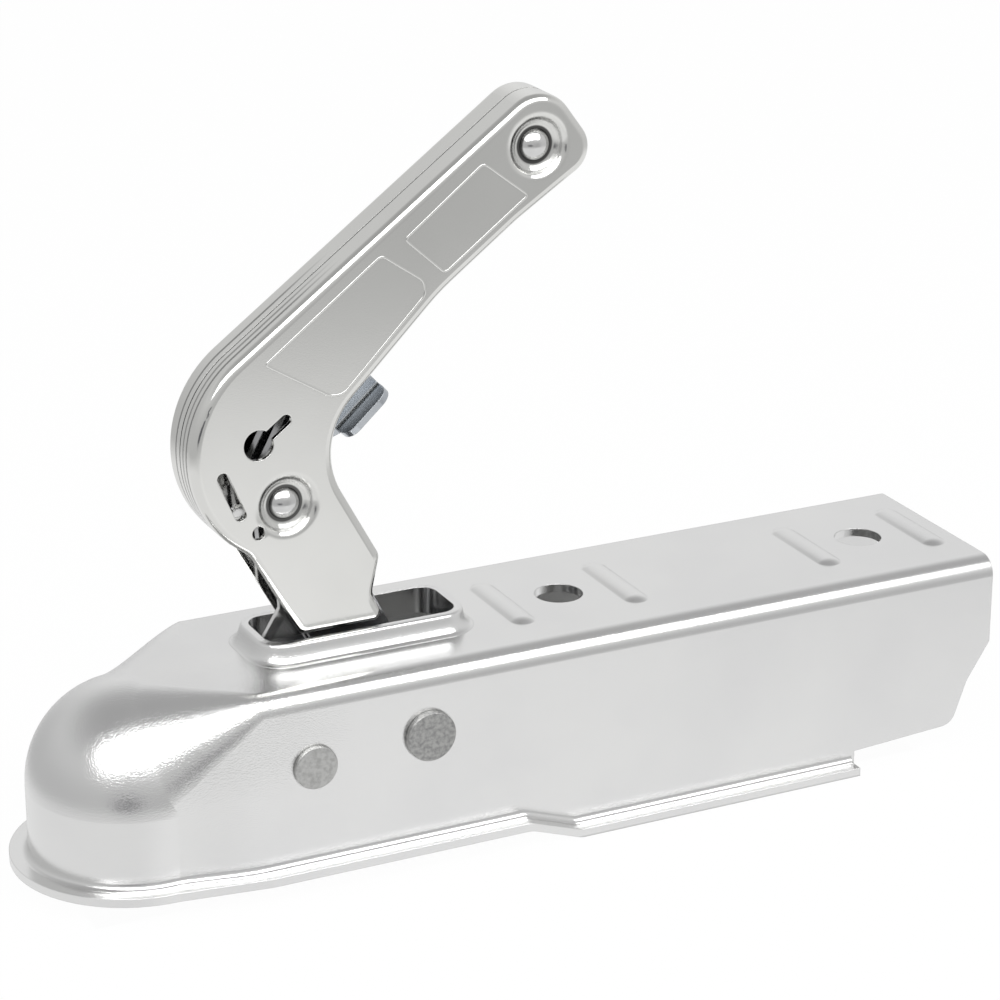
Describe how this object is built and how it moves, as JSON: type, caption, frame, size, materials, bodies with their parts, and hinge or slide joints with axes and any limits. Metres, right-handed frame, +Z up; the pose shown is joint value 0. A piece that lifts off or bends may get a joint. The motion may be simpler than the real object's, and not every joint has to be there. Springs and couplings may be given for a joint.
{
  "type": "trailer hitch",
  "caption": "Pressed-steel ball coupling hitch for a square drawbar: round ball cup, flanged channel, bolt holes in the top and a raised two-shell handle with a finger latch.",
  "frame": {"origin": "centre of the tow ball in the cup", "axes": "+X back along the drawbar, +Z up, the near side at -Y"},
  "size_m": [0.2912, 0.0754, 0.2068],
  "materials": {
    "zinc_sheet": "bright zinc plate, satin",
    "zinc_handle": "bright zinc plate, satin",
    "rivet_steel": "zinc plate, matt",
    "bright_rivet": "bright zinc plate",
    "plain_steel": "zinc plate, satin",
    "blue_zinc": "blue-white zinc plate",
    "spring_steel": "drawn wire",
    "cast_jaw": "dark cast face"
  },
  "bodies": {
    "hitch": {"housing": "zinc_sheet", "jaw_rivet": "rivet_steel", "lever_rivet": "rivet_steel", "jaw_spacer_near": "plain_steel", "jaw_spacer_far": "plain_steel", "lever_spacer_near": "plain_steel", "lever_spacer_far": "plain_steel", "lever_spring": "spring_steel", "jaw_spring": "spring_steel"},
    "jaw": {"ball_jaw": "cast_jaw", "jaw_link_pin": "plain_steel"},
    "lever": {"lever_link_pin": "plain_steel", "lever_plate_near": "plain_steel", "lever_plate_far": "plain_steel", "handle_shell_near": "zinc_handle", "handle_shell_far": "zinc_handle", "handle_rivet_upper": "bright_rivet", "handle_rivet_lower": "bright_rivet", "handle_tube_upper": "plain_steel", "handle_tube_lower": "plain_steel", "latch_pin": "plain_steel", "latch_spring": "spring_steel"},
    "link": {"link_bar": "plain_steel"},
    "latch": {"latch": "blue_zinc"},
    "pointer": {"indicator_pointer": "plain_steel"}
  },
  "joints": [
    {"name": "lever_pivot", "type": "hinge", "parent": "hitch", "child": "lever", "pos_m": [0.0745, 0, 0.011], "axis": [0, 1, 0], "range_deg": [0, 42], "stiffness_Nm_per_rad": 0.3, "springref_deg": -20.05},
    {"name": "jaw_pivot", "type": "hinge", "parent": "hitch", "child": "jaw", "pos_m": [0.0405, 0, 0.0085], "axis": [0, 1, 0], "range_deg": [0, 21]},
    {"name": "link_pivot", "type": "hinge", "parent": "lever", "child": "link", "pos_m": [0.07181, 0, 0.018], "axis": [0, 1, 0], "range_deg": [-42, 0]},
    {"name": "latch_pivot", "type": "hinge", "parent": "lever", "child": "latch", "pos_m": [0.0505, 0, 0.0865], "axis": [0, 1, 0], "range_deg": [0, 5], "stiffness_Nm_per_rad": 0.05, "springref_deg": -17.19},
    {"name": "pointer_pivot", "type": "hinge", "parent": "lever", "child": "pointer", "pos_m": [0.0439, 0, 0.0748], "axis": [0, 1, 0], "range_deg": [-6, 0]}
  ],
  "couplings": [
    {"joint": "jaw_pivot", "follows": "lever_pivot", "ratio": 0.5},
    {"joint": "link_pivot", "follows": "lever_pivot", "ratio": -1}
  ]
}
